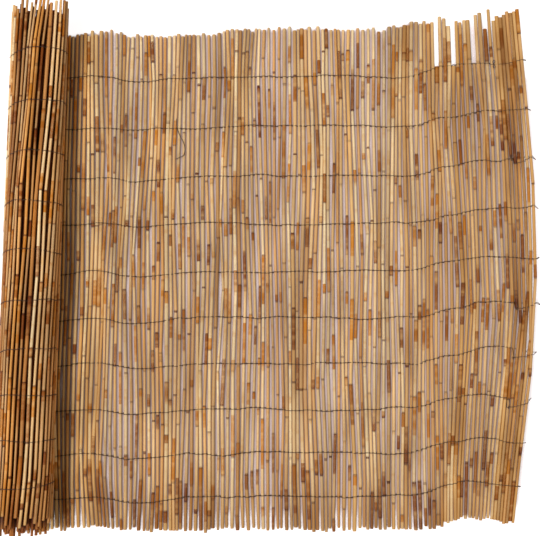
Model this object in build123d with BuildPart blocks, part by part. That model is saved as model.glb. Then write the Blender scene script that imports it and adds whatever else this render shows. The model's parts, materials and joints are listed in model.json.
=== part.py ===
from build123d import *

import os
from math import cos, pi, radians, sin, sqrt, tan
from random import Random

# A reed screen, partly unrolled and lying on the ground.
#
# Long dry reeds lie side by side and are bound into a mat by ten rows of thin wire, with a wire on each face of
# the mat in every row. The left end of the mat is still wound up in a loose roll, the middle lies flat, and the
# free end on the right curls up and bows. X runs along the mat, from the roll to the free end, Y runs along the
# reeds and Z points up. The origin is under the middle of the whole object, at ground level. Lengths are in
# millimetres.
#
# The mat is one ridged wall. Every ridge is a reed, a thin web joins it to the next one, and the web is left out
# where light shows between two reeds. The turns of the roll are part of the same wall. A place on the mat is given
# by s, the distance along it from the roll's foot: it is negative inside the roll.

# Reeds
REED_LENGTH = 1012.0
REED_DIAMETER_MIN = 5.0
REED_DIAMETER_MAX = 6.6
REED_GAP_MIN = 1.4
REED_GAP_MAX = 3.2
REED_SIDES = 6
INNER_REED_SIDES = 4
WEB_THICKNESS = 1.2
SHEET_RAGGED = 3.0
ROLL_RAGGED = 12.0

# The flat stretch and the free end
FLAT_LENGTH = 798.0
CURL_LENGTH = 205.0
CURL_RADIUS = 420.0
BOW_REACH = 230.0
BOW_FOOT = 58.0
BOW_HEAD = 22.0
BOW_STRAIGHT_LOW = -90.0
BOW_STRAIGHT_HIGH = 190.0

# The roll
ROLL_DIAMETER = 125.0
ROLL_CORE_DIAMETER = 40.0
TURN_CLEARANCE = 3.0
INNER_REED_PITCH = 13.4
INNER_END_STEP = 8.0
ROLL_LEAN = 0.8
LEAN_REACH = 125.0

# How far the reeds and wires have slipped sideways, as (s, slip)
SLIP = [(-170, 32), (-85, 22), (0, -8), (123, 0), (198, -10), (346, 0), (746, 1), (836, 20), (906, 30), (990, 24)]
INNER_SLIP = 12.0

# How far the heads and the feet of the sheet's reeds stand above an even line, as (s, rise)
HEAD_LINE = [
    (72, -5), (198, 1), (321, -6), (403, 1), (526, 5), (608, 2), (695, 3), (708, 13), (730, 6), (764, 14), (772, 8),
    (804, 4), (811, 12), (822, 12), (834, 0), (841, -9), (853, -6), (886, -4), (897, -7), (915, 6), (929, 4),
    (933, 10), (939, -12), (964, 2), (969, -15), (973, 6), (1000, 5),
]
FOOT_LINE = [
    (54, 6), (208, 9), (326, 0), (484, 2), (722, 1), (783, 0), (809, -9), (835, -4), (855, 0), (886, -2), (931, -7),
    (982, -6), (997, 0),
]

# Broken reeds of the free end, as (distance from the free end, length that is missing at the head)
BROKEN = [(79, 34), (111, 89), (154, 88), (192, 104)]

# Light between the reeds
CLEAR_SHARE = 0.97
CLEAR_MIN = 250.0
CLEAR_MAX = 800.0
CLEAR_LIMIT = 118
WEB_MIN = 30.0

# Binding wires
WIRE_SIZE = 1.0
WIRE_SEAT = 0.2
WIRE_ROWS = 10
WIRE_HEAD_MARGIN = 98.0
WIRE_SPACING = 103.5
WIRE_SPACING_LOSS = 2.3
WIRE_STUB = 3.0
NIP_CLEARANCE = 14.0
RING_SWEEP = 320.0
RING_RUNS = 10
CURL_RUNS = 3

reed_radius = REED_DIAMETER_MAX / 2
mat_height = WIRE_SIZE + WIRE_SEAT + reed_radius
mat_end = FLAT_LENGTH + CURL_LENGTH
turn_pitch = REED_DIAMETER_MAX + TURN_CLEARANCE
roll_radius = ROLL_DIAMETER / 2 - reed_radius - WIRE_SEAT - WIRE_SIZE
core_radius = ROLL_CORE_DIAMETER / 2 + reed_radius
outer_turn = pi * (2 * roll_radius - turn_pitch)
rolled_length = pi * (roll_radius**2 - core_radius**2) / turn_pitch
wire_offset = reed_radius + WIRE_SEAT + WIRE_SIZE / 2


def roll_angle(s):
    """The angle, in radians, through which the roll has turned at s inside it."""
    return 2 * pi * (roll_radius - sqrt(roll_radius**2 + turn_pitch * s / pi)) / turn_pitch


def roll_length(angle):
    """The length of mat that the roll takes up in turning through an angle."""
    return angle * roll_radius - turn_pitch * angle**2 / (4 * pi)


def path(s, out=0.0):
    """A point beside the mat's middle line, out towards its upper face: its x, its z and the mat's slope there."""
    if s < 0:
        slope = -roll_angle(s)
        radius = roll_radius + turn_pitch * slope / (2 * pi) - out
        return radius * sin(slope), mat_height + roll_radius - radius * cos(slope), slope
    if s > FLAT_LENGTH:
        slope = (s - FLAT_LENGTH) / CURL_RADIUS
        radius = CURL_RADIUS - out
        return FLAT_LENGTH + radius * sin(slope), mat_height + CURL_RADIUS - radius * cos(slope), slope
    return s, mat_height + out, 0.0


def slip(s):
    """How far the mat has slipped along the reeds at s."""
    for (start, first), (end, last) in zip(SLIP, SLIP[1:]):
        if start <= s <= end:
            return first + (last - first) * (1 - cos(pi * (s - start) / (end - start))) / 2
    return SLIP[0][1] if s < 0 else SLIP[-1][1]


def rise(line, s):
    """How far a line of reed ends stands above an even one at s."""
    for (start, first), (end, last) in zip(line, line[1:]):
        if start <= s <= end:
            return first + (last - first) * (s - start) / (end - start)
    return line[0][1] if s < line[0][0] else line[-1][1]


def bow(s, y):
    """How far back along the mat the free end has bowed, at s and at height y of the screen."""
    share = max(0.0, 1 - (mat_end - s) / BOW_REACH)
    low = max(0.0, (BOW_STRAIGHT_LOW - y) / (REED_LENGTH / 2 + BOW_STRAIGHT_LOW))
    high = max(0.0, (y - BOW_STRAIGHT_HIGH) / (REED_LENGTH / 2 - BOW_STRAIGHT_HIGH))
    return share * (low * BOW_FOOT + high * BOW_HEAD)


def lean_shift(s, y):
    """How far the lean of the roll, and of the sheet beside it, moves the mat along X at height y."""
    lean = ROLL_LEAN * min(1.0, max(0.0, 1 - s / LEAN_REACH))
    return y * tan(radians(lean))


def on_mat(s, y):
    """A point of the mat's middle at s and height y."""
    x, z, _ = path(s - bow(s, y))
    return Vector(x + lean_shift(s, y), y, z)


class Reed:
    """A reed: its place on the mat, its radius and the heights of its two ends."""

    def __init__(self, s, radius, low, high):
        self.s = s
        self.radius = radius
        self.low = low
        self.high = high

    def section(self):
        """The corners of its section about its middle, as thick as the reed. Inside the roll it has fewer sides."""
        sides, corner = REED_SIDES, self.radius / cos(pi / REED_SIDES)
        if self.s < -outer_turn:
            sides, corner = INNER_REED_SIDES, self.radius
        turns = [path(self.s)[2] + 2 * pi * k / sides for k in range(sides)]
        return [(corner * cos(turn), corner * sin(turn)) for turn in turns]


def make_reed(chance, s, ragged):
    """A reed of chance thickness at s, with its ends a little long or short."""
    radius = chance.uniform(REED_DIAMETER_MIN, REED_DIAMETER_MAX) / 2
    middle, odd_foot, odd_head = slip(s), chance.uniform(-ragged, ragged), chance.uniform(-ragged, ragged)
    if s < -outer_turn:
        middle = INNER_SLIP
        odd_foot = INNER_END_STEP * round(odd_foot / INNER_END_STEP)
        odd_head = INNER_END_STEP * round(odd_head / INNER_END_STEP)
    return Reed(s, radius, middle - REED_LENGTH / 2 + odd_foot, middle + REED_LENGTH / 2 + odd_head)


def reed_step(chance, reed):
    """The distance from a reed to the next one."""
    return 2 * reed.radius / cos(pi / REED_SIDES) + chance.uniform(REED_GAP_MIN, REED_GAP_MAX)


def sheet_reeds():
    """The reeds from the roll's foot to the free end, where a few are broken off short at the head."""
    chance = Random(11)
    reeds = []
    s = reed_radius
    while s < mat_end - reed_radius:
        reed = make_reed(chance, s, SHEET_RAGGED)
        reed.low += rise(FOOT_LINE, s)
        reed.high += rise(HEAD_LINE, s)
        reeds.append(reed)
        s += reed_step(chance, reed)
    for from_end, missing in BROKEN:
        broken = min(reeds, key=lambda reed: abs(reed.s - mat_end + from_end))
        broken.high -= missing
    return reeds


def roll_reeds():
    """The reeds of the roll, from its middle out to its foot. The turns inside are evenly spaced."""
    chance = Random(23)
    reeds = []
    s = -reed_radius
    while s > reed_radius - rolled_length:
        reeds.append(make_reed(chance, s, ROLL_RAGGED))
        s -= INNER_REED_PITCH if s < -outer_turn else reed_step(chance, reeds[-1])
    return reeds[::-1]


def bar(section, points):
    """A straight or cranked bar: one section in the XZ plane, carried through a row of points."""
    runs = []
    for start, end in zip(points, points[1:]):
        with BuildPart() as run:
            with BuildSketch(Plane.XZ.offset(-start.Y)):
                with BuildLine():
                    Polyline(*[(start.X + across, start.Z + up) for across, up in section], close=True)
                make_face()
            extrude(amount=(end - start).length, dir=end - start)
        runs.append(run.part)
    return runs


def heights(s, low, high):
    """The heights at which a bar at s starts, cranks and ends."""
    cranks = [y for y in (BOW_STRAIGHT_LOW, BOW_STRAIGHT_HIGH) if s > mat_end - BOW_REACH and low < y < high]
    return [low, *cranks, high]


def reed_bar(reed):
    """The bar of one reed."""
    return bar(reed.section(), [on_mat(reed.s, y) for y in heights(reed.s, reed.low, reed.high)])


def web_bar(left, right, low, high):
    """The thin web between two neighbouring reeds, from the middle of one to the middle of the other."""
    half = (on_mat(right.s, 0) - on_mat(left.s, 0)) / 2
    thick = Vector(-half.Z, 0, half.X).normalized() * WEB_THICKNESS / 2
    corners = [half + thick, thick - half, -half - thick, half - thick]
    middles = [(on_mat(left.s, y) + on_mat(right.s, y)) / 2 for y in heights(left.s, low, high)]
    return bar([(corner.X, corner.Z) for corner in corners], middles)


def clear_stretch(chance, low, high):
    """The heights between which light shows beside a reed. It may run out at the reed's foot or head."""
    half_length = chance.uniform(CLEAR_MIN, CLEAR_MAX) / 2
    middle = chance.uniform(low, high)
    return max(low, middle - half_length), min(high, middle + half_length)


def webs(reeds):
    """The webs that join all the reeds, open where light shows through the sheet."""
    chance = Random(37)
    bars = []
    clear_count = 0
    for left, right in zip(reeds, reeds[1:]):
        low = max(left.low, right.low)
        high = min(left.high, right.high)
        stretches = [(low, high)]
        if left.s > LEAN_REACH / 2 and clear_count < CLEAR_LIMIT and chance.random() < CLEAR_SHARE:
            start, end = clear_stretch(chance, low, high)
            stretches = [(low, start), (end, high)]
            clear_count += 1
        for bottom, top in stretches:
            if top - bottom > WEB_MIN:
                bars += web_bar(left, right, bottom, top)
    return bars


def wire(points):
    """A square wire through a row of points."""
    with BuildPart() as run:
        with BuildLine() as route:
            Polyline(*points)
        with BuildSketch(Plane(points[0], x_dir=(0, 1, 0), z_dir=points[1] - points[0])):
            Rectangle(WIRE_SIZE, WIRE_SIZE)
        sweep(path=route.line, transition=Transition.RIGHT)
    return run.part


def row_height(row):
    """The height of a wire row where the mat hasn't slipped, counted from 0 at the head."""
    return REED_LENGTH / 2 - WIRE_HEAD_MARGIN - WIRE_SPACING * row + WIRE_SPACING_LOSS * row * (row - 1) / 2


def wire_point(place, row, out):
    """A point of a wire's middle, at a place on the mat's path and out towards the mat's upper face."""
    x, z, _ = path(place, out)
    y = row_height(row) + slip(place)
    return Vector(x + lean_shift(place, y), y, z)


def sheet_stations():
    """The places where a wire on the flat stretch turns a little sideways."""
    return [s for s, _ in SLIP if NIP_CLEARANCE < s < FLAT_LENGTH - REED_GAP_MAX] + [FLAT_LENGTH]


def curl_turns(row, side):
    """The points where a wire turns as it follows the curl, on one side of the mat, to just past the last reed."""
    end = mat_end + WIRE_STUB - bow(mat_end, row_height(row))
    run = (end - FLAT_LENGTH) / CURL_RUNS
    first, out = run, wire_offset
    if side < 0:
        first, out = run / 2, CURL_RADIUS - (CURL_RADIUS + wire_offset) / cos(run / CURL_RADIUS / 2)
    turns = [wire_point(FLAT_LENGTH + first + k * run, row, out) for k in range(CURL_RUNS)]
    return turns if side > 0 else turns + [wire_point(end, row, -wire_offset)]


def front_wire(row):
    """The wire on the sheet's upper face, from the nip under the roll to the free end."""
    flat = [wire_point(place, row, wire_offset) for place in (NIP_CLEARANCE, *sheet_stations())]
    return wire(flat + curl_turns(row, 1))


def under_wires(row):
    """The wire under the sheet, in two lengths that meet where the curl starts."""
    flat = [wire_point(place, row, -wire_offset) for place in (0, *sheet_stations())]
    return [wire(flat), wire([flat[-1], *curl_turns(row, -1)])]


def roll_wire(row):
    """The rest of the wire that runs under the sheet, round the outside of the roll to where it is covered."""
    turn = radians(RING_SWEEP) / RING_RUNS
    ring = [wire_point(0, row, -wire_offset)]
    for k in range(RING_RUNS):
        angle = (k + 0.5) * turn
        radius = roll_radius - turn_pitch * angle / (2 * pi)
        ring.append(wire_point(-roll_length(angle), row, radius - (radius + wire_offset) / cos(turn / 2)))
    ring.append(wire_point(-roll_length(RING_RUNS * turn), row, -wire_offset))
    return wire(ring)


def save(name, node):
    """Names a finished node and writes it."""
    node.label = name
    export_step(node, f"parts/{name}.step")


os.makedirs("parts", exist_ok=True)

all_reeds = roll_reeds() + sheet_reeds()
mat_bars = [run for reed in all_reeds for run in reed_bar(reed)] + webs(all_reeds)
rows = range(WIRE_ROWS)
front_wires = [front_wire(row) for row in rows]
back_wires = [[*under_wires(row), roll_wire(row)] for row in rows]

around = Compound(mat_bars + front_wires + sum(back_wires, [])).bounding_box()
home = Location((-around.center().X, -around.center().Y, -around.min.Z))

with BuildPart() as reed_mat:
    with Locations(home):
        add(mat_bars)
save("reed_mat", reed_mat.part)

for row in rows:
    save(f"front_wire_{row + 1:02d}", front_wires[row].moved(home))
    # A back wire is three lengths that meet end to end: along the flat stretch, up the curl and round the roll
    save(f"back_wire_{row + 1:02d}", Compound(children=[length.moved(home) for length in back_wires[row]]))

print("reeds:", len(all_reeds), "mat length:", mat_end + rolled_length, "box:", around.size)
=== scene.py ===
import json
from math import cos, pi, radians, sin
from random import Random

import bpy
import numpy as np
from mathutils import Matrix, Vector

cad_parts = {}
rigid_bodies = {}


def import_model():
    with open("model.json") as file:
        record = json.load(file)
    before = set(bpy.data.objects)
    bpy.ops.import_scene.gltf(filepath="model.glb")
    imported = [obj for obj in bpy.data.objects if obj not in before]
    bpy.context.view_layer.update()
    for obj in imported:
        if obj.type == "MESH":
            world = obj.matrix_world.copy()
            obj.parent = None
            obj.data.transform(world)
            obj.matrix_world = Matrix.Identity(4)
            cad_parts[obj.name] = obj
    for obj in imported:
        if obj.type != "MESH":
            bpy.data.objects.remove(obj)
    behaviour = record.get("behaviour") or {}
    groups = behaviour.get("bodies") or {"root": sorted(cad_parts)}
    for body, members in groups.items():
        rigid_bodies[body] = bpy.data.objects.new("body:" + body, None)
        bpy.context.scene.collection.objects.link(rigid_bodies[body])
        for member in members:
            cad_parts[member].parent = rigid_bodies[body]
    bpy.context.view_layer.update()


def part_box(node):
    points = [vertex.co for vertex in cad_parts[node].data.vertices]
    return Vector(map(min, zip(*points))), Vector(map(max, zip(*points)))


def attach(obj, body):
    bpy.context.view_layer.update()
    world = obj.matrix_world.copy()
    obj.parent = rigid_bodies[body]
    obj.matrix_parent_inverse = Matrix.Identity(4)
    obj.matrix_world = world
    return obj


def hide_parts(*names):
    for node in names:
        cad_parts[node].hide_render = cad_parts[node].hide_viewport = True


bl_info = {
    "name": "Reed Screen",
    "version": (1, 0, 0),
    "blender": (4, 2, 0),
    "location": "View3D > Sidebar > Reed Screen",
    "description": "A reed screen bound with rows of wire, partly unrolled on the ground",
    "category": "Object",
}

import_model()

NODES = 6

# How far the mat has slipped along its reeds, as (place, slip), in metres
SLIP = [(-0.17, 0.032), (-0.085, 0.022), (0.0, -0.008), (0.123, 0.0), (0.198, -0.01), (0.346, 0.0),
        (0.746, 0.001), (0.836, 0.02), (0.906, 0.03), (0.99, 0.024)]

# How far the heads and the feet of the sheet's reeds stand above an even line, as (place, rise), in metres
HEAD_LINE = [(0.072, -0.005), (0.198, 0.001), (0.321, -0.006), (0.403, 0.001), (0.526, 0.005),
             (0.608, 0.002), (0.695, 0.003), (0.708, 0.013), (0.73, 0.006), (0.764, 0.014), (0.772, 0.008),
             (0.804, 0.004), (0.811, 0.012), (0.822, 0.012), (0.834, 0.0), (0.841, -0.009), (0.853, -0.006),
             (0.886, -0.004), (0.897, -0.007), (0.915, 0.006), (0.929, 0.004), (0.933, 0.01),
             (0.939, -0.012), (0.964, 0.002), (0.969, -0.015), (0.973, 0.006), (1.0, 0.005)]
FOOT_LINE = [(0.054, 0.006), (0.208, 0.009), (0.326, 0.0), (0.484, 0.002), (0.722, 0.001), (0.783, 0.0),
             (0.809, -0.009), (0.835, -0.004), (0.855, 0.0), (0.886, -0.002), (0.931, -0.007),
             (0.982, -0.006), (0.997, 0.0)]

# Broken reeds of the free end, as (distance from the free end, length that is missing at the head), in metres
BROKEN = [(0.079, 0.034), (0.111, 0.089), (0.154, 0.088), (0.192, 0.104)]

# Where a wire is spliced, as (row, place), and the courses of its loose ends, as (along, rise), in metres
SPLICES = [
    (1, 0.276, [[(0.0, 0.0), (-0.001, 0.01), (-0.001, 0.02)],
                [(0.0, 0.0), (0.004, -0.012), (0.012, -0.026), (0.017, -0.04), (0.016, -0.052),
                 (0.012, -0.058), (0.003, -0.061), (-0.002, -0.064)]]),
    (1, 0.745, [[(-0.003, 0.001), (0.001, -0.004), (0.002, -0.008)]]),
    (0, 0.938, [[(-0.004, 0.0), (0.002, 0.004), (0.001, 0.009), (-0.003, 0.007), (-0.002, 0.0),
                 (0.002, -0.004), (0.0, -0.008), (-0.004, -0.005), (0.0, -0.001)]]),
    (5, 0.961, [[(-0.004, 0.004), (0.0, -0.002), (0.003, -0.012), (-0.001, -0.015), (-0.002, -0.01)]]),
    (6, 0.961, [[(-0.004, 0.002), (-0.001, -0.01), (0.002, -0.019), (-0.001, -0.021), (-0.002, -0.016)]]),
    (7, 0.961, [[(-0.003, 0.002), (0.001, -0.01), (0.001, -0.019), (-0.002, -0.02), (-0.001, -0.014)]]),
    (2, 0.96, [[(-0.003, 0.0), (0.001, 0.004), (-0.001, 0.007), (-0.004, 0.004), (0.0, -0.001),
                (0.002, -0.005), (-0.002, -0.006), (-0.002, -0.002)]]),
]

# The wires of some rows are lapped near the free end, where they step towards the feet by so much, in metres
LAP = 0.958
LAPPED = {2: 0.014, 5: 0.012, 6: 0.018, 7: 0.018}

# Heights of the screen at which each reed's course is worked out
LEVELS = np.linspace(-0.54, 0.54, 25)

# How a reed strays by itself, against its wander: its slant, and its wave with the least and most wave length
SLANT = 0.45
WAVE = 0.9
WAVE_LENGTHS = (0.2, 0.6)

# How many neighbouring reeds and levels stray together
BUNDLE = 9

# How firmly a reed keeps its own course, against the pull of its neighbours
HOLD = 0.12

# Near the free end the reeds' heads stray less and are thicker, from these places and heights on
FREE_START = 0.72
FREE_FADE = 0.05
FREE_LEVEL, FREE_LEVEL_FADE = 0.32, 0.1
HEAD_LEVEL, HEAD_THICKENING = 0.37, 0.22

# The last reeds keep their line: how far from the free end, and how much of their stray they lose
LAST_REEDS = 0.04
LAST_STEADY = 0.8

# The room that each reed takes beside its neighbours on the roll and on the sheet, against its radius
ROLL_ROOM = 0.98
SHEET_ROOM = 1.18

# Where neighbours lie closer than elsewhere: the feet beside the roll, and the free end
CROWDED_REACH, CROWDED_TOP, CROWDED_SHARE = 0.07, 0.1, 0.82
END_REACH, END_SHARE = 0.06, 0.72
SPACING_ROUNDS = 80

# The feet stray towards the free end below this height, fully at so much lower
SPLAY_TOP, SPLAY_DEPTH = -0.2, 0.3

# Reeds this far inside the roll are thinner, and stray out of their layer by a chance amount
ROLL_DEPTH = -0.05
ROLL_THINNING = 0.87
ROLL_LIFT = (-0.0012, 0.0004)

# A reed's thickness against the CAD reed, as (mean, deviation), with its limits, also against the mat's height
THICKNESS = (1.01, 0.08)
THICKNESS_LIMITS = (0.88, 1.14)
FLOOR_SHARE = 0.98

# The roll's slant and its extra stray come in over this length of mat
ROLLED_REACH = 0.1
ROLLED_STRAY = 0.6

# How far above its foot a reed's first node is, the head that has no nodes, and half the height of a node
FIRST_NODE = (0.02, 0.16)
NODE_CLEAR = 0.015
NODE_HALF = 0.0015

# How far above the feet the last wire is
LAST_WIRE = 0.09

# A wire's shown radius against its size, its sides, and the shoulders of its bends against a reed's radius
WIRE_SHARE = 0.7
WIRE_SIDES = 5
WIRE_SHOULDER = 0.7
WIRE_SHOULDER_OUT = 0.71

# The floor, and where the sun stands
FLOOR_SIZE = 12
SUN_HEIGHT = radians(70)
SUN_TOWARDS = (-0.95, -0.31)
SUN_ANGLE = radians(14)
SKY_COLOUR = (1, 0.94, 0.87, 1)


# Settings


def length_setting(name, description, default):
    """A setting that is a length."""
    return bpy.props.FloatProperty(name=name, description=description, default=default, unit="LENGTH")


def angle_setting(name, description, default):
    """A setting that is an angle."""
    return bpy.props.FloatProperty(name=name, description=description, default=default, subtype="ANGLE")


def colour_setting(name, description, default):
    """A setting that is a colour."""
    return bpy.props.FloatVectorProperty(name=name, description=description, default=default, subtype="COLOR")


class ReedScreenMat(bpy.types.PropertyGroup):
    """The form of the mat."""

    reed_length: length_setting("Reed Length", "Length of a whole reed", 1.012)
    reed_diameter_min: length_setting("Thinnest Reed", "Diameter of the thinnest reed", 0.005)
    reed_diameter_max: length_setting("Thickest Reed", "Diameter of the thickest reed", 0.0066)
    reed_gap_min: length_setting("Least Gap", "Least gap between two reeds", 0.0014)
    reed_gap_max: length_setting("Most Gap", "Most gap between two reeds", 0.0032)
    inner_pitch: length_setting("Inner Pitch", "Distance between the reeds inside the roll", 0.0089)
    sheet_ragged: length_setting("Sheet Ends", "How uneven the reeds' ends are on the sheet", 0.003)
    roll_ragged: length_setting("Roll Ends", "How uneven the reeds' ends are on the roll", 0.012)
    flat_length: length_setting("Flat Length", "Length that lies flat", 0.798)
    curl_length: length_setting("Curl Length", "Length of the free end that curls up", 0.205)
    curl_radius: length_setting("Curl Radius", "Radius of the curl of the free end", 0.42)
    bow_reach: length_setting("Bow Reach", "Length of the free end that bows", 0.23)
    bow_foot: length_setting("Bow at Foot", "How far the free end bows back at its foot", 0.058)
    bow_head: length_setting("Bow at Head", "How far the free end bows back at its head", 0.022)
    bow_low: length_setting("Bow Low", "Height below which the free end bows", -0.09)
    bow_high: length_setting("Bow High", "Height above which the free end bows", 0.19)
    roll_diameter: length_setting("Roll Diameter", "Outer diameter of the roll", 0.125)
    core_diameter: length_setting("Core Diameter", "Diameter of the open core of the roll", 0.04)
    turn_clearance: length_setting("Turn Clearance", "Gap between two turns of the roll", 0.003)
    inner_slip: length_setting("Inner Slip", "How far the inner turns have slipped", 0.012)
    roll_lean: angle_setting("Roll Lean", "Lean of the roll against the sheet", radians(0.8))
    lean_reach: length_setting("Lean Reach", "Length of sheet that leans with the roll", 0.125)
    clear_share: bpy.props.FloatProperty(
        name="Clear Share", description="Share of the gaps between reeds that let light through",
        default=0.97)
    clear_min: length_setting("Shortest Clear", "Shortest stretch that lets light through", 0.25)
    clear_max: length_setting("Longest Clear", "Longest stretch that lets light through", 0.8)
    clear_limit: bpy.props.IntProperty(
        name="Clear Limit", description="Most stretches that let light through", default=118)
    splay: length_setting("Splay", "How far the feet beside the roll stray towards the free end", 0.012)
    splay_reach: length_setting("Splay Reach", "Length of sheet whose feet stray", 0.26)


class ReedScreenReeds(bpy.types.PropertyGroup):
    """The look of the reeds."""

    sides: bpy.props.IntProperty(name="Sides", description="Sides of a reed", default=7, min=5, max=12)
    sheath: bpy.props.FloatProperty(
        name="Sheath", description="Thickness of a reed just past a node, against its bare thickness",
        default=1.16)
    bare: bpy.props.FloatProperty(
        name="Bare", description="Visible thickness of a bare reed, against the CAD reed", default=1.04)
    internode: length_setting("Internode", "Usual distance between two nodes", 0.165)
    wander: length_setting("Wander", "How far a reed strays sideways from its place", 0.0024)
    bundling: length_setting("Bundling", "How far neighbouring reeds stray together", 0.0035)
    skew: angle_setting("Skew", "Slant of the reeds on the roll", radians(2.4))
    widest: length_setting("Widest Step", "Most that two neighbouring reeds lie apart", 0.0108)
    spread: length_setting("Spread", "How much wider a gap is where light shows", 0.0004)
    ragged: length_setting("Ragged", "How much more uneven than the CAD reeds the ends look", 0.0018)
    hollow: bpy.props.FloatProperty(
        name="Wall", description="Wall thickness of a cut reed, against its radius", default=0.3)
    straw: colour_setting("Straw", "Colour of a bare reed", (0.78, 0.59, 0.35))
    golden: colour_setting("Golden", "Colour of a yellower reed", (0.63, 0.345, 0.12))
    sheath_light: colour_setting("Light Sheath", "Colour of a light leaf sheath", (0.56, 0.2, 0.018))
    sheath_dark: colour_setting("Dark Sheath", "Colour of a dark leaf sheath", (0.2, 0.05, 0.007))
    node_mark: colour_setting("Node", "Colour of a node", (0.1, 0.016, 0.002))


class ReedScreenWires(bpy.types.PropertyGroup):
    """The binding wires."""

    rows: bpy.props.IntProperty(name="Rows", description="Rows of wire", default=10, min=1, max=20)
    size: length_setting("Size", "Thickness of a wire", 0.001)
    seat: length_setting("Seat", "Gap between a wire and the thickest reed", 0.0002)
    head_margin: length_setting("Head Margin", "Distance of the first row from the head", 0.098)
    spacing: length_setting("Spacing", "Distance between the first two rows", 0.1035)
    spacing_loss: length_setting("Spacing Loss", "How much closer each next row is", 0.0023)
    stub: length_setting("Stub", "Length of wire past the last reed", 0.003)
    nip: length_setting("Nip", "Distance from the roll's foot to where the front wires show", 0.014)
    ring_sweep: angle_setting("Ring Sweep", "How far round the roll a wire shows", radians(320))
    colour: colour_setting("Wire Colour", "Colour of the wires", (0.05, 0.028, 0.018))


class ReedScreenStage(bpy.types.PropertyGroup):
    """The floor, the light and the camera."""

    floor_colour: colour_setting("Floor", "Colour of the floor", (0.46, 0.38, 0.38))
    # painted shade: the floor's colour where reeds cover it
    gap_shade_colour: colour_setting("Gap Floor", "Colour of the floor between the reeds", (0.36, 0.24, 0.2))
    floor_glow: bpy.props.FloatProperty(
        name="Floor Glow", description="How much whiter the open floor looks to the camera", default=0.9)
    # painted light: a glow of the floor between the reeds, seen only by camera, glossy and transmission rays
    gap_glow: colour_setting(
        "Gap Glow", "Light that the camera sees from the floor between the reeds", (0.18, 0.138, 0.132))
    sky: bpy.props.FloatProperty(name="Sky", description="Strength of the even light", default=0.38)
    sun: bpy.props.FloatProperty(name="Sun", description="Strength of the light from one side", default=2.2)
    camera_distance: length_setting("Camera Distance", "Distance of the camera", 2.008)
    camera_middle: length_setting("Camera Middle", "Height of the screen that the camera looks at", -0.0014)
    camera_tilt: angle_setting("Camera Tilt", "Tilt of the camera from straight down", radians(5))
    lens: bpy.props.FloatProperty(name="Lens", description="Focal length in mm", default=66)


# The mat's form


def smooth(rows, window, axis):
    """An array with each of its lines along an axis smoothed by a window of weights."""
    return np.apply_along_axis(lambda line: np.convolve(line, window, "valid"), axis, rows)


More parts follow.
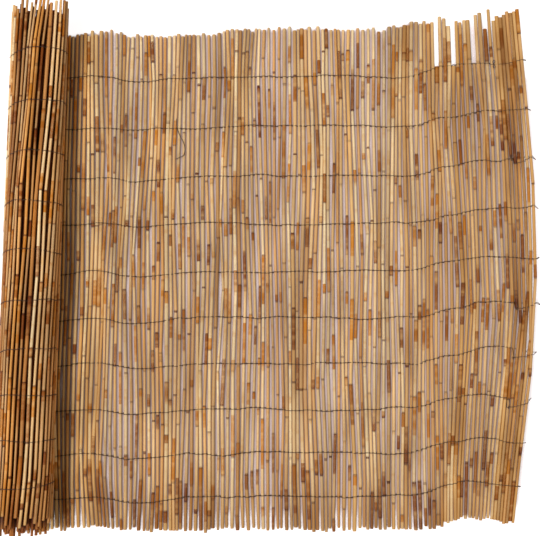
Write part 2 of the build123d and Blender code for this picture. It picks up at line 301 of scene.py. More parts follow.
class Mat:
    """The mat as a path with reeds on it. A place on it is s, the distance along it from the roll's foot."""

    def __init__(self, scene):
        self.form, self.wires, self.look = scene.reed_mat, scene.reed_wires, scene.reed_look
        form, wires = self.form, self.wires
        self.radius = form.reed_diameter_max / 2
        self.height = wires.size + wires.seat + self.radius
        self.end = form.flat_length + form.curl_length
        self.pitch = form.reed_diameter_max + form.turn_clearance
        self.roll_radius = form.roll_diameter / 2 - self.radius - wires.seat - wires.size
        core = form.core_diameter / 2 + self.radius
        self.outer_turn = pi * (2 * self.roll_radius - self.pitch)
        self.rolled = pi * (self.roll_radius**2 - core**2) / self.pitch
        self.home = Vector()
        self.reeds = self.roll_reeds() + self.sheet_reeds()
        self.settle()
        self.place()

    def path(self, s, out=0.0):
        """A point beside the mat's middle line, out towards its upper face: x, z and the slope there."""
        form, roll, pitch = self.form, self.roll_radius, self.pitch
        turned = 2 * pi * (roll - np.sqrt(roll**2 + pitch * np.minimum(s, 0) / pi)) / pitch
        curled = np.maximum(s - form.flat_length, 0) / form.curl_radius
        roll_arm = roll - pitch * turned / (2 * pi) - out
        curl_arm = form.curl_radius - out
        on_curl = s > form.flat_length
        x = np.where(s < 0, -roll_arm * np.sin(turned), np.where(
            on_curl, form.flat_length + curl_arm * np.sin(curled), s))
        z = self.height + np.where(s < 0, roll - roll_arm * np.cos(turned), np.where(
            on_curl, form.curl_radius - curl_arm * np.cos(curled), out))
        return x, z, np.where(s < 0, -turned, curled)

    def roll_length(self, angle):
        """The length of mat that the roll takes up in turning through an angle."""
        return angle * self.roll_radius - self.pitch * angle**2 / (4 * pi)

    def slip(self, s):
        """How far the mat has slipped along the reeds at s."""
        places, slips = np.array(SLIP).T
        after = np.clip(np.searchsorted(places, s), 1, len(SLIP) - 1)
        share = np.clip((s - places[after - 1]) / (places[after] - places[after - 1]), 0, 1)
        return slips[after - 1] + (slips[after] - slips[after - 1]) * (1 - np.cos(pi * share)) / 2

    def bow(self, s, y):
        """How far back along the mat the free end has bowed."""
        form = self.form
        share = np.maximum(0, 1 - (self.end - s) / form.bow_reach)
        low = np.maximum(0, (form.bow_low - y) / (form.reed_length / 2 + form.bow_low))
        high = np.maximum(0, (y - form.bow_high) / (form.reed_length / 2 - form.bow_high))
        return share * (low * form.bow_foot + high * form.bow_head)

    def lean(self, s, y):
        """How far the lean of the roll, and of the sheet beside it, moves the mat along X."""
        return y * np.tan(self.form.roll_lean * np.clip(1 - s / self.form.lean_reach, 0, 1))

    def make_reed(self, chance, s, ragged):
        """A reed of chance thickness at s, with its ends a little long or short."""
        form = self.form
        radius = chance.uniform(form.reed_diameter_min, form.reed_diameter_max) / 2
        middle = float(self.slip(s)) if s > -self.outer_turn else form.inner_slip
        foot, head = chance.uniform(-ragged, ragged), chance.uniform(-ragged, ragged)
        half = form.reed_length / 2
        return {"s": s, "radius": radius, "low": middle - half + foot, "high": middle + half + head}

    def step(self, chance, reed):
        """The distance from a reed to the next one."""
        gap = chance.uniform(self.form.reed_gap_min, self.form.reed_gap_max)
        return 2 * reed["radius"] / cos(pi / 6) + gap

    def sheet_reeds(self):
        """The reeds from the roll's foot to the free end, where a few are broken off short."""
        chance = Random(11)
        reeds, s = [], self.radius
        while s < self.end - self.radius:
            reed = self.make_reed(chance, s, self.form.sheet_ragged)
            reed["low"] += float(np.interp(s, *np.array(FOOT_LINE).T))
            reed["high"] += float(np.interp(s, *np.array(HEAD_LINE).T))
            reeds.append(reed)
            s += self.step(chance, reed)
        for from_end, missing in BROKEN:
            min(reeds, key=lambda reed: abs(reed["s"] - self.end + from_end))["high"] -= missing
        return reeds

    def roll_reeds(self):
        """The reeds of the roll, from its middle out to its foot."""
        chance = Random(23)
        reeds, s = [], -self.radius
        while s > self.radius - self.rolled:
            reeds.append(self.make_reed(chance, s, self.form.roll_ragged))
            s -= self.form.inner_pitch if s < -self.outer_turn else self.step(chance, reeds[-1])
        return reeds[::-1]

    def clear_stretches(self):
        """The stretch beside each reed where light shows, as its low and high end, or an empty one."""
        chance, form, count = Random(37), self.form, 0
        stretches = []
        for left, right in zip(self.reeds, self.reeds[1:]):
            low, high = max(left["low"], right["low"]), min(left["high"], right["high"])
            stretch = (0.0, 0.0)
            open_here = left["s"] > form.lean_reach / 2 and count < form.clear_limit
            if open_here and chance.random() < form.clear_share:
                half = chance.uniform(form.clear_min, form.clear_max) / 2
                middle = chance.uniform(low, high)
                stretch = (middle - half, middle + half)
                count += 1
            stretches.append(stretch)
        return np.array(stretches)

    def strays(self, places):
        """How far each reed would stray at each level by itself and in its bundle."""
        chance = np.random.default_rng(5)
        count, levels = len(places), self.levels
        slant = chance.normal(0, SLANT, (count, 1)) * levels / 0.5
        wave = np.sin(2 * pi * (
            levels / chance.uniform(*WAVE_LENGTHS, (count, 1)) + chance.random((count, 1))))
        bundles = chance.normal(0, 1, (count + BUNDLE - 1, len(levels) + BUNDLE - 1))
        window = np.hanning(BUNDLE + 2)[1:-1]
        window /= np.linalg.norm(window)
        bundles = smooth(smooth(bundles, window, 0), window, 1)
        stray = self.look.wander * (slant + WAVE * wave) + self.look.bundling * bundles
        free = np.clip((places - FREE_START) / FREE_FADE, 0, 1)
        free = free * np.clip((levels - FREE_LEVEL) / FREE_LEVEL_FADE, 0, 1)
        return stray * (1 - free) * (1 - LAST_STEADY * (places > self.end - LAST_REEDS))

    def draw_together(self, places, stray):
        """The strays once reeds draw together, except where light shows between them."""
        count, spread = len(places), self.look.spread
        low, high = self.clear_stretches().T
        clear = (self.levels > low[:, None]) & (self.levels < high[:, None])
        spread = np.where(clear, spread, -spread)
        spread = smooth(np.pad(spread, ((0, 0), (2, 2)), "edge"), np.ones(5) / 5, 1)
        spread[places[:-1, 0] < 0] = 0
        step = np.diff(np.eye(count), axis=0)
        pull = step.T @ step + HOLD * np.eye(count)
        return np.linalg.solve(pull, HOLD * stray + step.T @ (spread + np.diff(stray, axis=0)))

    def space_out(self, places):
        """Moves neighbours until they neither cut into each other nor lie too far apart."""
        room = np.where(places[:, len(self.levels) // 2] < 0, ROLL_ROOM, SHEET_ROOM)
        radii = np.array([reed["radius"] for reed in self.reeds]) * self.look.bare * room
        apart = (radii[1:] + radii[:-1])[:, None]
        crowded = (places[1:] < CROWDED_REACH) & (self.levels < CROWDED_TOP)
        widest = np.where(crowded, CROWDED_SHARE, 1)
        widest = np.where(places[1:] > self.end - END_REACH, END_SHARE, widest) * self.look.widest
        for _ in range(SPACING_ROUNDS):
            gaps = np.diff(places, axis=0)
            short = (np.maximum(0, apart - gaps) - np.maximum(0, gaps - widest)) / 2
            places[:-1] -= short
            places[1:] += short

    def settle(self):
        """Lets each reed stray from its straight line, and finds its place at each level."""
        form = self.form
        self.levels = LEVELS
        places = np.array([[reed["s"]] for reed in self.reeds])
        stray = self.draw_together(places, self.strays(places))
        feet = np.clip((SPLAY_TOP - self.levels) / SPLAY_DEPTH, 0, 1.2) ** 1.3
        stray += form.splay * feet * np.clip(1 - places / form.splay_reach, 0, 1) * (places > 0)
        rolled = np.clip(-places / ROLLED_REACH, 0, 1)
        slant = np.tan(self.look.skew) * self.levels * rolled
        places = places + stray * (1 + ROLLED_STRAY * rolled) - slant
        self.space_out(places)
        for reed, row in zip(self.reeds, places):
            reed["places"] = row

    def place(self):
        """Finds where the origin of the part is, from the extent of the CAD mat."""
        low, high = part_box("reed_mat")
        lowest = min(reed["low"] for reed in self.reeds)
        highest = max(reed["high"] for reed in self.reeds)
        corners = []
        for reed in self.reeds:
            s = reed["s"]
            for y in (reed["low"], 0.0, reed["high"]):
                x, _, slope = self.path(s - self.bow(s, y))
                turns = float(slope) + np.arange(6) * pi / 3
                corners += list(x + self.lean(s, y) + reed["radius"] / cos(pi / 6) * np.cos(turns))
        x_middle = float(min(corners) + max(corners)) / 2
        y_middle = (lowest + highest) / 2
        self.home = Vector(((low.x + high.x) / 2 - x_middle, (low.y + high.y) / 2 - y_middle, 0))

    def points(self, s, y, out=0.0):
        """Points of the object, for places on the mat at heights y of the screen."""
        x, z, slope = self.path(s - self.bow(s, y), out)
        return np.stack([x + self.lean(s, y) + self.home.x, y + self.home.y, z + self.home.z], -1), slope

    def row_height(self, row):
        """The height of a wire row where the mat hasn't slipped."""
        wires = self.wires
        return (self.form.reed_length / 2 - wires.head_margin - wires.spacing * row
                + wires.spacing_loss * row * (row - 1) / 2)


# Modelling


def deselect():
    """Deselects every object."""
    for thing in bpy.context.scene.objects:
        thing.select_set(False)


def activate(thing):
    """Makes an object the only one selected."""
    deselect()
    thing.select_set(True)
    bpy.context.view_layer.objects.active = thing


def reed_master(sides, loops, wall):
    """Models a reed of unit thickness, with hollow ends and a loop at each whole height up to loops - 1."""
    top = loops - 1
    bpy.ops.mesh.primitive_cylinder_add(vertices=sides, radius=1, depth=top, location=(0, 0, top / 2))
    master = bpy.context.active_object
    activate(master)
    bpy.ops.object.transform_apply(location=True)
    bpy.ops.object.mode_set(mode="EDIT")
    for level in range(1, top):
        bpy.ops.mesh.select_all(action="SELECT")
        bpy.ops.mesh.bisect(plane_co=(0, 0, level), plane_no=(0, 0, 1))
    for end, inwards in ((0, 0.1), (top, -0.1)):
        bpy.ops.mesh.select_all(action="DESELECT")
        bpy.ops.object.mode_set(mode="OBJECT")
        for face in master.data.polygons:
            face.select = abs(face.center.z - end) < 1e-4
        bpy.ops.object.mode_set(mode="EDIT")
        bpy.ops.mesh.select_mode(type="FACE")
        bpy.ops.mesh.inset(thickness=wall)
        bpy.ops.mesh.extrude_region_move(TRANSFORM_OT_translate={"value": (0, 0, inwards)})
    bpy.ops.mesh.select_all(action="SELECT")
    bpy.ops.mesh.normals_make_consistent(inside=False)
    bpy.ops.object.mode_set(mode="OBJECT")
    bpy.ops.object.shade_smooth_by_angle(angle=radians(60))
    return master


def coordinates(mesh):
    """The vertices of a mesh as an array."""
    flat = np.empty(len(mesh.vertices) * 3)
    mesh.vertices.foreach_get("co", flat)
    return flat.reshape(-1, 3)


def write_coordinates(mesh, points):
    """Moves the vertices of a mesh."""
    mesh.vertices.foreach_set("co", np.asarray(points, float).ravel())
    mesh.update()


def add_attribute(mesh, name, values):
    """Adds a number to each vertex of a mesh."""
    layer = mesh.attributes.new(name, "FLOAT", "POINT")
    layer.data.foreach_set("value", np.asarray(values, float))


def join(things, name):
    """Joins objects into one piece."""
    activate(things[0])
    if len(things) > 1:
        for thing in things:
            thing.select_set(True)
        bpy.ops.object.join()
    piece = bpy.context.active_object
    piece.name = name
    piece.data.name = name
    return piece


def finish_piece(piece, material, nodes):
    """Gives a piece its material and its place in the frame."""
    piece.data.materials.clear()
    piece.data.materials.append(material)
    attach(piece, "root")
    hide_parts(*nodes)
    return piece


# Materials


class Graph:
    """The nodes of one material."""

    def __init__(self, name):
        self.material = bpy.data.materials.new(name)
        self.material.use_nodes = True
        self.tree = self.material.node_tree
        self.tree.nodes.clear()
        self.output = self.tree.nodes.new("ShaderNodeOutputMaterial")

    def add(self, kind, inputs, **settings):
        """Adds a node, sets it and links or sets its inputs."""
        node = self.tree.nodes.new("ShaderNode" + kind)
        for key, value in settings.items():
            setattr(node, key, value)
        for key, value in inputs.items():
            if isinstance(value, bpy.types.NodeSocket):
                self.tree.links.new(value, node.inputs[key])
            else:
                node.inputs[key].default_value = value
        return node

    def math(self, operation, *values, clamp=False):
        """The result of one operation on numbers."""
        return self.add("Math", dict(enumerate(values)), operation=operation, use_clamp=clamp).outputs[0]

    def scaled(self, base, value, gain, offset):
        """A number times the sum of another one, times a gain, and an offset."""
        return self.math("MULTIPLY", base, self.math("MULTIPLY_ADD", value, gain, offset))

    def place(self):
        """The object coordinates X, Y and Z."""
        return self.add("SeparateXYZ", {0: self.add("TexCoord", {}).outputs["Object"]}).outputs

    def mix(self, share, first, second, blend="MIX"):
        """A mix of two colours."""
        node = self.add("Mix", {}, data_type="RGBA", blend_type=blend)
        for socket, value in zip([node.inputs[0], node.inputs[6], node.inputs[7]], [share, first, second]):
            if isinstance(value, bpy.types.NodeSocket):
                self.tree.links.new(value, socket)
            else:
                socket.default_value = (*value, 1) if hasattr(value, "__len__") else value
        return node.outputs[2]

    def attribute(self, name):
        """A number stored on the mesh."""
        return self.add("Attribute", {}, attribute_name=name, attribute_type="GEOMETRY").outputs["Fac"]

    def stretched(self, scale):
        """Object coordinates, stretched."""
        place = self.add("TexCoord", {}).outputs["Object"]
        return self.add("Mapping", {"Vector": place, "Scale": scale}).outputs[0]

    def white(self, first, second, seed):
        """Chance numbers, one for each pair of whole numbers."""
        place = self.add("CombineXYZ", {0: first, 1: second, 2: seed}).outputs[0]
        return self.add("TexWhiteNoise", {"Vector": place}, noise_dimensions="3D").outputs["Value"]

    def noise(self, scale, detail=2.0, roughness=0.5):
        """Smooth noise on stretched object coordinates."""
        node = self.add("TexNoise", {"Vector": self.stretched(scale), "Scale": 1.0, "Detail": detail,
                                     "Roughness": roughness})
        return node.outputs[0]

    def ramp(self, value, low, high):
        """0 below low, 1 above high."""
        node = self.add("MapRange", {"Value": value, "From Min": low, "From Max": high}, clamp=True)
        return node.outputs["Result"]


def reed_tones(graph, look, warmth, sheath_share, reed, along, inner, brown):
    """The unshaded colour, with its sheaths, nodes and worn patches, and then the patches by themselves."""
    index, part = graph.math("FLOOR", along), graph.math("FRACT", along)
    tone = graph.white(reed, 0.5, 1.5)
    local, chance, length, dark = (graph.white(reed, index, seed) for seed in (2.5, 3.5, 4.5, 5.5))
    own = graph.add("CombineXYZ", {
        0: graph.math("MULTIPLY", reed, 7.3), 1: graph.math("MULTIPLY", along, 7.0)}).outputs[0]
    patch = graph.add("TexNoise", {
        "Vector": own, "Scale": 1.0, "Detail": 3.0, "Roughness": 0.6}).outputs[0]
    pale = graph.math("MULTIPLY_ADD", local, 0.4, 0.1 * warmth)
    pale = graph.math("MULTIPLY_ADD", brown, 0.3, pale)
    pale = graph.math("MULTIPLY_ADD", tone, 0.6, pale)
    bare = graph.mix(graph.ramp(pale, 0.2, 0.85), look.straw, look.golden)
    rusty = graph.ramp(graph.white(reed, 0.5, 7.5), 0.66 - 0.72 * warmth, 1.0 - 0.4 * warmth)
    bare = graph.mix(graph.math("MULTIPLY", rusty, 0.65), bare, look.sheath_light)
    reach = graph.math("MULTIPLY_ADD", graph.math("POWER", length, 1.5), 0.5, 0.07)
    likely = graph.math("MAXIMUM", inner, graph.math("MULTIPLY_ADD", brown, 0.3, sheath_share))
    covered = graph.math("LESS_THAN", part, reach)
    covered = graph.math("MULTIPLY", covered, graph.math("LESS_THAN", chance, likely))
    darkness = graph.math("MULTIPLY_ADD", brown, 0.25, graph.math("POWER", dark, 1.3), clamp=True)
    sheath = graph.mix(darkness, look.sheath_light, look.sheath_dark)
    sheath = graph.mix(graph.math("MULTIPLY", graph.ramp(patch, 0.45, 0.65), 0.5), sheath, bare)
    colour = graph.mix(covered, bare, sheath)
    edge = graph.math("ABSOLUTE", graph.math("SUBTRACT", part, 0.5))
    mark = graph.scaled(graph.ramp(edge, 0.485, 0.489), graph.math("POWER", dark, 1.5), 0.8, 0.2)
    colour = graph.mix(mark, colour, look.node_mark)
    worn = graph.math("MULTIPLY", graph.ramp(patch, 0.52, 0.68), 0.7)
    return graph.mix(worn, colour, look.golden), patch


def reed_material(name, look, shade, sheath_share, warmth=0.0):
    """Dry reed with fibres and painted light and shade: darker and redder in crevices, and the more so the
    more warmth it has, darker inside the roll, and lighter and redder on the sheet beside the roll.
    """
    graph = Graph(name)
    along, reed, inner = (graph.attribute(word) for word in ("along", "reed", "inner"))
    x, y = graph.place()[:2]
    # darker and browner towards the free end and towards the feet
    brown = graph.math("MAXIMUM", graph.ramp(x, 0.2, 0.55), graph.ramp(y, -0.38, -0.5))
    # painted light: the sheet's reeds beside the roll are lighter and redder, as if lit from the roll; with a
    # warmth of 0.5 it has no effect
    nip = graph.ramp(x, -0.35, -0.4)
    # painted shade: the inner turns are darker and redder inside the roll, though not their tips below it
    hidden = graph.math("MULTIPLY", inner, graph.ramp(y, -0.52, -0.49))
    colour, patch = reed_tones(graph, look, warmth, sheath_share, reed, along, inner, brown)
    fibre = graph.noise((900, 14, 900), 3.0, 0.6)
    # painted shade: broad soft darker patches, long along the reeds
    shade_patches = graph.ramp(graph.noise((24, 5, 24), 2.0, 0.5), 0.38, 0.66)
    bright = graph.math("POWER", graph.white(reed, 1.5, 6.5), 0.5)
    # painted shade: darker and redder where neighbouring reeds crowd a reed, the more so the more warmth
    crevice = graph.add("AmbientOcclusion", {"Distance": 0.005 + 0.01 * warmth}, samples=4).outputs["AO"]
    crevice = graph.ramp(crevice, 0.25, 0.85)
    # light gathers the grain, each reed's own tone, the darkening towards the free end and the feet, and the
    # painted shade and painted light above
    light = graph.math("MULTIPLY_ADD", fibre, 0.6, 0.68)
    for value, gain, offset in (
            (bright, 0.45 + 0.5 * warmth, 0.65 - 0.4 * warmth), (shade_patches, -0.4, 1.16), (brown, -0.2, 1.0),
            (nip, 0.15 - 0.3 * warmth, 1.0), (hidden, -0.8, shade),
            (crevice, 0.18 + warmth, 0.85 - 0.75 * warmth)):
        light = graph.scaled(light, value, gain, offset)
    # green and blue of the painted light and shade: darker places, crevices and the inner turns are redder,
    # darker reeds of the roll too, and the sheet is redder beside the roll
    dimmed = graph.math("POWER", graph.math("MINIMUM", light, 1.0), 0.3)
    warm = graph.math("MULTIPLY_ADD", crevice, 0.15 + 0.4 * warmth, 0.9 - 0.415 * warmth)
    warm = graph.scaled(graph.math("MULTIPLY", light, dimmed), inner, -0.2, warm)
    warm = graph.scaled(warm, bright, 0.44 * warmth, 1.0 - 0.4 * warmth)
    warm = graph.scaled(warm, nip, 0.2 * warmth - 0.1, 1.0)
    warmer = graph.math("MULTIPLY", graph.scaled(warm, inner, -0.35, 1.0), dimmed)
    warmer = graph.scaled(warmer, bright, 0.5 * warmth, 1.0 - 0.5 * warmth)
    warmer = graph.scaled(warmer, nip, 0.5 * warmth - 0.25, 1.0)
    # painted light and shade, with grain and tone, multiply the base colour
    shading = graph.add("CombineColor", {0: light, 1: warm, 2: warmer}).outputs[0]
    bump = graph.add("Bump", {"Height": fibre, "Strength": 0.35, "Distance": 0.0004})
    shader = graph.add("BsdfPrincipled", {
        "Base Color": graph.mix(1.0, colour, shading, "MULTIPLY"),
        "Roughness": graph.math("MULTIPLY_ADD", patch, 0.3, 0.3),
        "Specular IOR Level": 0.15, "Normal": bump.outputs[0]})
    graph.tree.links.new(shader.outputs[0], graph.output.inputs[0])
    return graph.material


def wire_material(look):
    """Dull weathered wire with brown patches."""
    graph = Graph("Weathered wire")
    patch = graph.noise((160, 160, 160), 3.0, 0.6)
    colour = graph.mix(graph.ramp(patch, 0.4, 0.65), look.colour, [0.06, 0.025, 0.012])
    shader = graph.add("BsdfPrincipled", {
        "Base Color": colour, "Metallic": 0.15, "Roughness": graph.math("MULTIPLY_ADD", patch, 0.3, 0.4)})
    graph.tree.links.new(shader.outputs[0], graph.output.inputs[0])
    return graph.material


def floor_material(stage):
    """A pale floor that looks nearly white where it is open, with painted shade where the reeds cover it, a
    painted glow between the reeds, and painted shadow beside the roll.
    """
    graph = Graph("Floor")
    place = graph.place()
    reach = graph.math("MULTIPLY_ADD", graph.ramp(place[0], 0.33, 0.5), 0.06, 0.025)
    openness = graph.add("AmbientOcclusion", {"Distance": reach}, samples=8).outputs["AO"]
    # painted shade: the floor is darker and browner where the reeds cover it
    shaded_ground = graph.mix(graph.ramp(openness, 0.2, 0.5), stage.gap_shade_colour, stage.floor_colour)
    lit = graph.add("BsdfDiffuse", {"Color": shaded_ground}).outputs[0]
    slits = graph.math("MULTIPLY", graph.ramp(place[0], 0.3, 0.32), graph.ramp(place[1], 0.39, 0.4))
    slits = graph.math("MAXIMUM", slits, graph.math("MULTIPLY", graph.ramp(place[1], -0.47, -0.5), 0.8))
    opened = graph.ramp(graph.math("MULTIPLY_ADD", slits, 0.32, openness), 0.6, 0.72)
    corner = graph.math("MULTIPLY", graph.ramp(place[0], -0.33, -0.36), graph.ramp(place[1], 0.482, 0.49))
    opened = graph.math("MAXIMUM", opened, corner)
    # painted light: between the reeds a faint glow, where the floor is open the white of the backdrop
    colour = graph.mix(opened, stage.gap_glow, [stage.floor_glow] * 3)
    # painted shadow: beside the roll the floor has no glow unless it is open
    strength = graph.math("MAXIMUM", graph.ramp(place[0], -0.4, -0.33), opened)
    glow = graph.add("Emission", {"Color": colour, "Strength": strength}).outputs[0]
    rays = graph.add("LightPath", {}).outputs
    seen = graph.math("MAXIMUM", rays["Is Glossy Ray"], rays["Is Transmission Ray"])
    seen = graph.math("MAXIMUM", rays["Is Camera Ray"], seen)
    both = graph.add("AddShader", {0: lit, 1: glow}).outputs[0]
    shader = graph.add("MixShader", {0: seen, 1: lit, 2: both}).outputs[0]
    graph.tree.links.new(shader, graph.output.inputs[0])
    return graph.material


# Operators


def grow_reeds(context, reeds, seed):
    """Copies the master reed to each place, and bends it along the mat."""
    scene = context.scene
    mat, look = Mat(scene), scene.reed_look
    chance = np.random.default_rng(seed)
    loops = 4 + 2 * NODES
    master = reed_master(look.sides, loops, look.hollow)
    unit = coordinates(master.data)
    things = []
    for reed in reeds(mat):
        low, high = np.array([reed["low"], reed["high"]]) + chance.normal(0, look.ragged, 2)
        first = high - scene.reed_wires.head_margin
        last = low + LAST_WIRE
        lowest = low + chance.uniform(*FIRST_NODE)
        nodes = lowest + np.cumsum([0, *chance.normal(1, 0.12, NODES - 1)]) * look.internode
        nodes = nodes[nodes < high - NODE_CLEAR]
        while len(nodes) < NODES:
            nodes = np.append(nodes, (nodes[-1] + high) / 2)
        upright = 1 if chance.random() < 0.5 else -1
        cuts = sorted([low, last, first, high, *(nodes - NODE_HALF), *(nodes + NODE_HALF)])
        swell = []
        for cut in cuts:
            since = (cut - nodes) * upright
            since = np.min(since[since > 0], initial=look.internode) / look.internode
            swell.append(look.bare * (1 + (look.sheath - 1) * max(0.0, 1 - since)))
        steps = np.arange(loops)
        turn = chance.uniform(0, 2 * pi)
        y = np.interp(unit[:, 2], steps, cuts)
        thick = np.interp(unit[:, 2], steps, swell) * reed["radius"]
        thick *= np.clip(chance.normal(*THICKNESS), *THICKNESS_LIMITS)
        deep = reed["s"] < ROLL_DEPTH
        if deep:
            thick *= ROLL_THINNING
        free = np.clip((reed["s"] - FREE_START) / FREE_FADE, 0, 1)
        thick *= 1 + HEAD_THICKENING * np.clip((y - HEAD_LEVEL) / FREE_FADE, 0, 1) * free
        thick = np.minimum(thick, mat.height * FLOOR_SHARE)
        s = np.interp(y, mat.levels, reed["places"])
        middle, slope = mat.points(s, y, chance.uniform(*ROLL_LIFT) if deep else 0.0)
        across = thick * (unit[:, 0] * cos(turn) - unit[:, 1] * sin(turn))
        up = thick * (unit[:, 0] * sin(turn) + unit[:, 1] * cos(turn))
        middle[:, 0] += across * np.cos(slope) - up * np.sin(slope)
        middle[:, 2] += across * np.sin(slope) + up * np.cos(slope)
        copy = master.copy()
        copy.data = master.data.copy()
        context.collection.objects.link(copy)
        write_coordinates(copy.data, middle)
        marks = np.array([low - look.internode, *nodes, high + look.internode])
        along = np.interp(y, marks, np.arange(len(marks)))
        add_attribute(copy.data, "along", along if upright > 0 else len(marks) - 1 - along)
        add_attribute(copy.data, "reed", np.full(len(along), float(chance.integers(1, 999))))
        add_attribute(copy.data, "inner", np.full(len(along), float(reed["s"] < -mat.outer_turn)))
        things.append(copy)
    bpy.data.objects.remove(master)
    return things


class OBJECT_OT_reed_sheet(bpy.types.Operator):
    """Lays the reeds of the sheet, from the roll's foot to the free end"""

    bl_idname = "object.reed_sheet"
    bl_label = "Sheet Reeds"

    def execute(self, context):
        things = grow_reeds(context, lambda mat: [reed for reed in mat.reeds if reed["s"] > 0], 3)
        material = reed_material("Dry reed", context.scene.reed_look, 1.02, 0.58)
        finish_piece(join(things, "sheet_reeds"), material, ["reed_mat"])
        return {"FINISHED"}


class OBJECT_OT_reed_roll(bpy.types.Operator):
    """Winds the reeds of the roll"""

    bl_idname = "object.reed_roll"
    bl_label = "Roll Reeds"

    def execute(self, context):
        things = grow_reeds(context, lambda mat: [reed for reed in mat.reeds if reed["s"] < 0], 4)
        # warmth gives the roll browner reeds and deeper, redder painted shade in its crevices
        material = reed_material("Dry reed of the roll", context.scene.reed_look, 1.07, 0.85, 0.5)
        finish_piece(join(things, "roll_reeds"), material, ["reed_mat"])
        return {"FINISHED"}


def tube(context, points, radius):
    """Models a wire through points: a grid rolled up, with its seam merged and its ends filled."""
    sides = WIRE_SIDES
    points = np.asarray(points)
    bpy.ops.mesh.primitive_grid_add(x_subdivisions=len(points) - 1, y_subdivisions=sides, size=2)
    wire = context.active_object
    activate(wire)
    grid = coordinates(wire.data)
    step = np.rint((grid[:, 0] + 1) / 2 * (len(points) - 1)).astype(int)
    turn = (grid[:, 1] + 1) * pi
    ahead = np.gradient(points, axis=0)
    ahead /= np.linalg.norm(ahead, axis=1, keepdims=True)
    across = np.where(np.abs(ahead[:, 1:2]) < 0.8, [[0.0, 1.0, 0.0]], [[1.0, 0.0, 0.0]])
    across = across - ahead * np.sum(across * ahead, axis=1, keepdims=True)
    across /= np.linalg.norm(across, axis=1, keepdims=True)
    up = np.cross(ahead, across)
    write_coordinates(wire.data, points[step] + radius * (
        across[step] * np.cos(turn)[:, None] + up[step] * np.sin(turn)[:, None]))
    bpy.ops.object.mode_set(mode="EDIT")
    bpy.ops.mesh.select_all(action="SELECT")
    bpy.ops.mesh.remove_doubles(threshold=0.00002)
    bpy.ops.mesh.fill_holes(sides=sides)
    bpy.ops.mesh.select_all(action="SELECT")
    bpy.ops.mesh.normals_make_consistent(inside=False)
    bpy.ops.object.mode_set(mode="OBJECT")
    bpy.ops.object.shade_smooth_by_angle(angle=radians(75))
    return wire


def row_wave(row, places):
    """How far the wires of a row wave along the reeds, on both faces. They wave more at the free end."""
    chance = np.random.default_rng(60 + row)
    wave = 0
    for spacing, height in ((0.07, 0.0022), (0.02, 0.001)):
        stations = np.arange(-0.4, 1.1, spacing)
        wave = wave + np.interp(places, stations, chance.normal(0, height, len(stations)))
    return wave * (1 + 0.5 * np.clip((places - 0.7) / 0.15, 0, 1))


def wire_points(mat, row, side):
    """The course of a wire over one row of reeds. It dips between them, where it twists with the other."""
    wires, look = mat.wires, mat.look
    chance = np.random.default_rng(100 + 2 * row + (side > 0))
    start = wires.nip if side > 0 else -mat.roll_length(wires.ring_sweep)
    reeds = [reed for reed in mat.reeds if reed["s"] > start]
    rise = mat.row_height(row)
    heights = [rise + float(mat.slip(reed["s"])) for reed in reeds]
    places = np.array([np.interp(y, mat.levels, reed["places"]) for reed, y in zip(reeds, heights)])
    radii = np.array([reed["radius"] for reed in reeds])
    arms = radii * (look.bare + look.sheath * look.bare) / 2 + wires.size / 2
    kink = row_wave(row, places)
    if side > 0 and row in LAPPED:
        past = (places - LAP) / (mat.end - LAP)
        kink -= LAPPED[row] * np.where(places > LAP, 1 - 0.8 * past, 0)
    course = [(start if side < 0 else places[0] - arms[0], heights[0], arms[0] * 0.9)]
    twist = side
    for k, (place, y, arm) in enumerate(zip(places, heights, arms)):
        y += kink[k] + chance.normal(0, 0.0002)
        shoulder, out = WIRE_SHOULDER * arm, WIRE_SHOULDER_OUT * arm
        course += [(place - shoulder, y, out), (place, y, arm), (place + shoulder, y, out)]
        if k + 1 < len(reeds):
            half = (places[k + 1] - place) / 2
            reach = (arm + arms[k + 1]) / 2
            dip = max(0.0004**2, reach**2 - half**2) ** 0.5
            course.append((place + half, y + twist * 0.0009, dip))
            twist = -twist
    course.append((mat.end + wires.stub, heights[-1], 0.8 * arms[-1]))
    s, y, out = np.array(course).T
    points = mat.points(s, y, side * out)[0]
    points[:, 2] = np.maximum(points[:, 2], wires.size * WIRE_SHARE)
    return points


def loose_end(mat, row, place, course):
    """The course of a loose wire end that lies on the reeds, with its corners rounded."""
    course = np.array(course)
    for _ in range(2):
        before, after = course[:-1], course[1:]
        inside = np.stack([before * 0.75 + after * 0.25, before * 0.25 + after * 0.75], 1)
        course = np.vstack([course[:1], inside.reshape(-1, 2), course[-1:]])
    y = mat.row_height(row) + float(mat.slip(place)) + float(row_wave(row, place)) + course[:, 1]
    out = mat.radius * mat.look.bare * mat.look.sheath + mat.wires.size
    return mat.points(place + course[:, 0], y, out)[0]


class OBJECT_OT_reed_wires(bpy.types.Operator):
    """Binds the mat with its rows of wire"""

    bl_idname = "object.reed_wires"
    bl_label = "Binding Wires"

    def execute(self, context):
        mat = Mat(context.scene)
        material = wire_material(mat.wires)
        for row in range(mat.wires.rows):
            for side, face in ((1, "front"), (-1, "back")):
                name = f"{face}_wire_{row + 1:02d}"
                lines = [wire_points(mat, row, side)]
                for place, courses in [splice[1:] for splice in SPLICES if splice[0] == row and side > 0]:
                    lines += [loose_end(mat, row, place, course) for course in courses]
                parts = [tube(context, line, mat.wires.size * WIRE_SHARE) for line in lines]
                finish_piece(join(parts, "bound_" + name), material, [name])
        return {"FINISHED"}


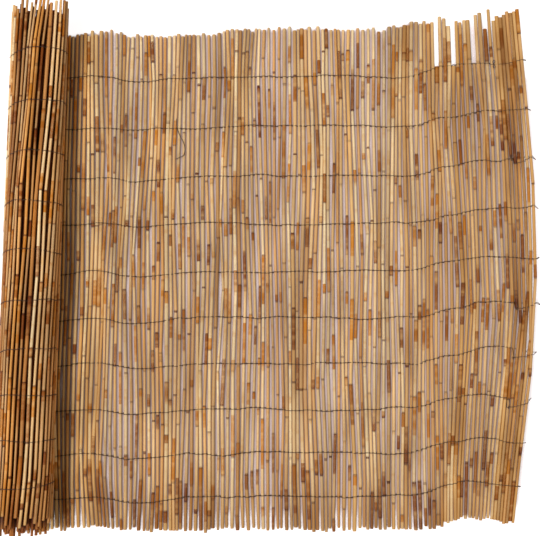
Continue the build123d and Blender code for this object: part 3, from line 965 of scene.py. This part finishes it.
class OBJECT_OT_reed_stage(bpy.types.Operator):
    """Sets the floor, the light and the camera"""

    bl_idname = "object.reed_stage"
    bl_label = "Stage"

    def execute(self, context):
        stage = context.scene.reed_stage
        bpy.ops.mesh.primitive_plane_add(size=FLOOR_SIZE)
        floor = context.active_object
        floor.name = "floor"
        floor.data.materials.append(floor_material(stage))
        world = bpy.data.worlds.new("Even light")
        world.use_nodes = True
        background = world.node_tree.nodes["Background"]
        background.inputs["Color"].default_value = SKY_COLOUR
        background.inputs["Strength"].default_value = stage.sky
        context.scene.world = world
        bpy.ops.object.light_add(type="SUN", location=(-1, -0.5, 3))
        sun = context.active_object
        sun.data.energy = stage.sun
        sun.data.angle = SUN_ANGLE
        level = cos(SUN_HEIGHT)
        towards = Vector((SUN_TOWARDS[0] * level, SUN_TOWARDS[1] * level, sin(SUN_HEIGHT)))
        sun.rotation_euler = towards.to_track_quat("Z", "Y").to_euler()
        tilt, distance = stage.camera_tilt, stage.camera_distance
        place = (0, stage.camera_middle - distance * sin(tilt), distance * cos(tilt))
        bpy.ops.object.camera_add(location=place, rotation=(tilt, 0, 0))
        camera = context.active_object
        camera.data.lens = stage.lens
        context.scene.camera = camera
        context.scene.view_settings.view_transform = "Standard"
        return {"FINISHED"}


class VIEW3D_PT_reed_screen(bpy.types.Panel):
    """The reed screen's settings and operators"""

    bl_idname = "VIEW3D_PT_reed_screen"
    bl_label = "Reed Screen"
    bl_space_type = "VIEW_3D"
    bl_region_type = "UI"
    bl_category = "Reed Screen"

    def draw(self, context):
        for operator, title, settings in PARTS:
            box = self.layout.box()
            box.operator(operator, text=title)
            group = getattr(context.scene, settings)
            for name in type(group).__annotations__:
                box.prop(group, name)


PARTS = (
    ("object.reed_sheet", "Sheet Reeds", "reed_mat"),
    ("object.reed_roll", "Roll Reeds", "reed_look"),
    ("object.reed_wires", "Binding Wires", "reed_wires"),
    ("object.reed_stage", "Stage", "reed_stage"),
)

CLASSES = (
    ReedScreenMat, ReedScreenReeds, ReedScreenWires, ReedScreenStage,
    OBJECT_OT_reed_sheet, OBJECT_OT_reed_roll, OBJECT_OT_reed_wires, OBJECT_OT_reed_stage,
    VIEW3D_PT_reed_screen)


def register():
    """Registers the classes and the settings."""
    for cls in CLASSES:
        bpy.utils.register_class(cls)
    bpy.types.Scene.reed_mat = bpy.props.PointerProperty(type=ReedScreenMat)
    bpy.types.Scene.reed_look = bpy.props.PointerProperty(type=ReedScreenReeds)
    bpy.types.Scene.reed_wires = bpy.props.PointerProperty(type=ReedScreenWires)
    bpy.types.Scene.reed_stage = bpy.props.PointerProperty(type=ReedScreenStage)


def unregister():
    """Removes the settings and the classes."""
    for name in ("reed_mat", "reed_look", "reed_wires", "reed_stage"):
        delattr(bpy.types.Scene, name)
    for cls in reversed(CLASSES):
        bpy.utils.unregister_class(cls)


def main():
    """Builds the screen and its stage."""
    register()
    bpy.ops.object.reed_sheet()
    bpy.ops.object.reed_roll()
    bpy.ops.object.reed_wires()
    bpy.ops.object.reed_stage()


if __name__ == "__main__":
    main()
